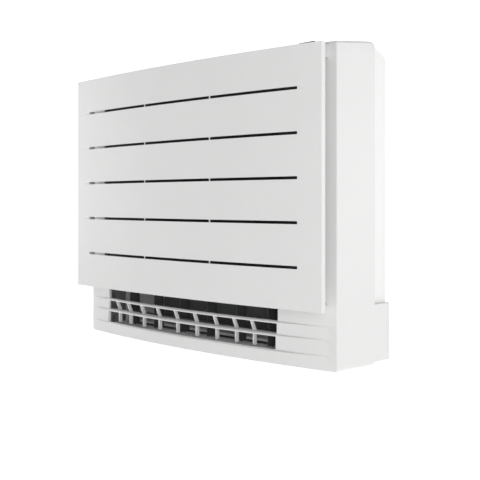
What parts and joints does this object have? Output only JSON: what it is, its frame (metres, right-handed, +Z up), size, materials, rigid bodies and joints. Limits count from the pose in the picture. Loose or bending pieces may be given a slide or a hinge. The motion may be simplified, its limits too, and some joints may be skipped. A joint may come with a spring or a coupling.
{
  "type": "floor standing air conditioner",
  "caption": "Low white floor standing room air conditioner with a bowed slotted front panel, a barred lower outlet and a flap-covered upper outlet.",
  "frame": {"origin": "middle of the footprint on the floor", "axes": "+X to the right seen from the room, +Y towards the wall, +Z up"},
  "size_m": [0.75, 0.238, 0.6],
  "materials": {
    "white_shell": "satin white ABS",
    "inner_white": "plain white moulding",
    "pan_foam": "moulded polystyrene foam",
    "dark_plastic": "dark grey moulding",
    "filter_mesh": "fine dark mesh in a moulded frame",
    "fan_grey": "grey glass-filled plastic",
    "steel": "zinc plated steel",
    "coil_aluminium": "thin aluminium fins",
    "copper": "bare copper pipe",
    "brass": "bare brass",
    "circuit_board": "green solder mask",
    "dark_lens": "smoked gloss window"
  },
  "bodies": {
    "unit": {"front_casing": "white_shell", "lower_outlet_grille": "white_shell", "side_pipe_cover_left": "white_shell", "side_pipe_cover_right": "white_shell", "fan_orifice": "inner_white", "rear_frame": "inner_white", "upper_outlet_frame": "inner_white", "lower_duct": "inner_white", "receiver_housing": "inner_white", "drain_pan": "pan_foam", "panel_catch_left": "dark_plastic", "panel_catch_right": "dark_plastic", "fan_motor": "dark_plastic", "terminal_block": "dark_plastic", "room_sensor": "dark_plastic", "coil_end_plate_left": "steel", "coil_end_plate_right": "steel", "motor_screw_1": "steel", "motor_screw_2": "steel", "motor_screw_3": "steel", "casing_screw_left": "steel", "casing_screw_right": "steel", "mounting_plate": "steel", "upper_flap_motor": "steel", "lower_shutter_motor": "steel", "electrical_box": "steel", "electrical_box_cover": "steel", "coil_fin_block": "coil_aluminium", "coil_header": "copper", "gas_pipe": "copper", "liquid_pipe": "copper", "gas_flare_nut": "brass", "liquid_flare_nut": "brass", "control_board": "circuit_board", "display_board": "circuit_board", "display_lens": "dark_lens"},
    "panel": {"front_panel": "white_shell"},
    "filter_left": {"air_filter_left": "filter_mesh"},
    "filter_right": {"air_filter_right": "filter_mesh"},
    "rotor": {"fan_rotor": "fan_grey", "motor_shaft": "steel", "fan_nut": "steel"},
    "flap": {"upper_flap": "white_shell"},
    "shutter": {"lower_shutter": "dark_plastic"},
    "upper_link": {"upper_vane_link": "dark_plastic"},
    "lower_link": {"lower_vane_link": "dark_plastic"},
    "button": {"operation_button": "white_shell"},
    "upper_blade_1": {"upper_vane_1": "inner_white"},
    "lower_blade_1": {"lower_vane_1": "dark_plastic"},
    "upper_blade_2": {"upper_vane_2": "inner_white"},
    "lower_blade_2": {"lower_vane_2": "dark_plastic"},
    "upper_blade_3": {"upper_vane_3": "inner_white"},
    "lower_blade_3": {"lower_vane_3": "dark_plastic"},
    "upper_blade_4": {"upper_vane_4": "inner_white"},
    "lower_blade_4": {"lower_vane_4": "dark_plastic"},
    "upper_blade_5": {"upper_vane_5": "inner_white"},
    "lower_blade_5": {"lower_vane_5": "dark_plastic"},
    "upper_blade_6": {"upper_vane_6": "inner_white"},
    "lower_blade_6": {"lower_vane_6": "dark_plastic"}
  },
  "joints": [
    {"name": "panel_open", "type": "hinge", "parent": "unit", "child": "panel", "pos_m": [0, -0.084, 0.12], "axis": [1, 0, 0], "range_deg": [0, 60]},
    {"name": "filter_left_lift", "type": "slide", "parent": "unit", "child": "filter_left", "axis": [0, 0, 1], "range_m": [0, 0.018]},
    {"name": "filter_right_lift", "type": "slide", "parent": "unit", "child": "filter_right", "axis": [0, 0, 1], "range_m": [0, 0.018]},
    {"name": "fan_spin", "type": "hinge", "parent": "unit", "child": "rotor", "pos_m": [-0.033, 0, 0.312], "axis": [0, 1, 0], "continuous": true},
    {"name": "upper_flap_open", "type": "hinge", "parent": "unit", "child": "flap", "pos_m": [0, 0.012, 0.583], "axis": [-1, 0, 0], "range_deg": [0, 75]},
    {"name": "lower_shutter_close", "type": "hinge", "parent": "unit", "child": "shutter", "pos_m": [0, -0.005, 0.026], "axis": [1, 0, 0], "range_deg": [0, 88]},
    {"name": "button_push", "type": "slide", "parent": "unit", "child": "button", "axis": [0, 0, -1], "range_m": [0, 0.0015], "stiffness_N_per_m": 300, "springref_m": -0.0015},
    {"name": "upper_vane_1_swing", "type": "hinge", "parent": "unit", "child": "upper_blade_1", "pos_m": [-0.253, 0.00675, 0.551], "axis": [0, 1, 0], "range_deg": [-30, 30]},
    {"name": "upper_vane_2_swing", "type": "hinge", "parent": "unit", "child": "upper_blade_2", "pos_m": [-0.165, 0.00675, 0.551], "axis": [0, 1, 0], "range_deg": [-30, 30]},
    {"name": "upper_vane_3_swing", "type": "hinge", "parent": "unit", "child": "upper_blade_3", "pos_m": [-0.077, 0.00675, 0.551], "axis": [0, 1, 0], "range_deg": [-30, 30]},
    {"name": "upper_vane_4_swing", "type": "hinge", "parent": "unit", "child": "upper_blade_4", "pos_m": [0.011, 0.00675, 0.551], "axis": [0, 1, 0], "range_deg": [-30, 30]},
    {"name": "upper_vane_5_swing", "type": "hinge", "parent": "unit", "child": "upper_blade_5", "pos_m": [0.099, 0.00675, 0.551], "axis": [0, 1, 0], "range_deg": [-30, 30]},
    {"name": "upper_vane_6_swing", "type": "hinge", "parent": "unit", "child": "upper_blade_6", "pos_m": [0.187, 0.00675, 0.551], "axis": [0, 1, 0], "range_deg": [-30, 30]},
    {"name": "upper_link_slide", "type": "slide", "parent": "unit", "child": "upper_link", "axis": [1, 0, 0], "range_m": [-0.0061, 0.0061]},
    {"name": "lower_vane_1_swing", "type": "hinge", "parent": "unit", "child": "lower_blade_1", "pos_m": [-0.253, -0.024, 0.06325], "axis": [0, 0, 1], "range_deg": [-30, 30]},
    {"name": "lower_vane_2_swing", "type": "hinge", "parent": "unit", "child": "lower_blade_2", "pos_m": [-0.165, -0.024, 0.06325], "axis": [0, 0, 1], "range_deg": [-30, 30]},
    {"name": "lower_vane_3_swing", "type": "hinge", "parent": "unit", "child": "lower_blade_3", "pos_m": [-0.077, -0.024, 0.06325], "axis": [0, 0, 1], "range_deg": [-30, 30]},
    {"name": "lower_vane_4_swing", "type": "hinge", "parent": "unit", "child": "lower_blade_4", "pos_m": [0.011, -0.024, 0.06325], "axis": [0, 0, 1], "range_deg": [-30, 30]},
    {"name": "lower_vane_5_swing", "type": "hinge", "parent": "unit", "child": "lower_blade_5", "pos_m": [0.099, -0.024, 0.06325], "axis": [0, 0, 1], "range_deg": [-30, 30]},
    {"name": "lower_vane_6_swing", "type": "hinge", "parent": "unit", "child": "lower_blade_6", "pos_m": [0.187, -0.024, 0.06325], "axis": [0, 0, 1], "range_deg": [-30, 30]},
    {"name": "lower_link_slide", "type": "slide", "parent": "unit", "child": "lower_link", "axis": [1, 0, 0], "range_m": [-0.0061, 0.0061]}
  ],
  "couplings": [
    {"joint": "upper_vane_2_swing", "follows": "upper_vane_1_swing", "ratio": 1},
    {"joint": "upper_vane_3_swing", "follows": "upper_vane_1_swing", "ratio": 1},
    {"joint": "upper_vane_4_swing", "follows": "upper_vane_1_swing", "ratio": 1},
    {"joint": "upper_vane_5_swing", "follows": "upper_vane_1_swing", "ratio": 1},
    {"joint": "upper_vane_6_swing", "follows": "upper_vane_1_swing", "ratio": 1},
    {"joint": "upper_link_slide", "follows": "upper_vane_1_swing", "m_per_rad": -0.01146},
    {"joint": "lower_vane_2_swing", "follows": "lower_vane_1_swing", "ratio": 1},
    {"joint": "lower_vane_3_swing", "follows": "lower_vane_1_swing", "ratio": 1},
    {"joint": "lower_vane_4_swing", "follows": "lower_vane_1_swing", "ratio": 1},
    {"joint": "lower_vane_5_swing", "follows": "lower_vane_1_swing", "ratio": 1},
    {"joint": "lower_vane_6_swing", "follows": "lower_vane_1_swing", "ratio": 1},
    {"joint": "lower_link_slide", "follows": "lower_vane_1_swing", "m_per_rad": 0.01146}
  ]
}
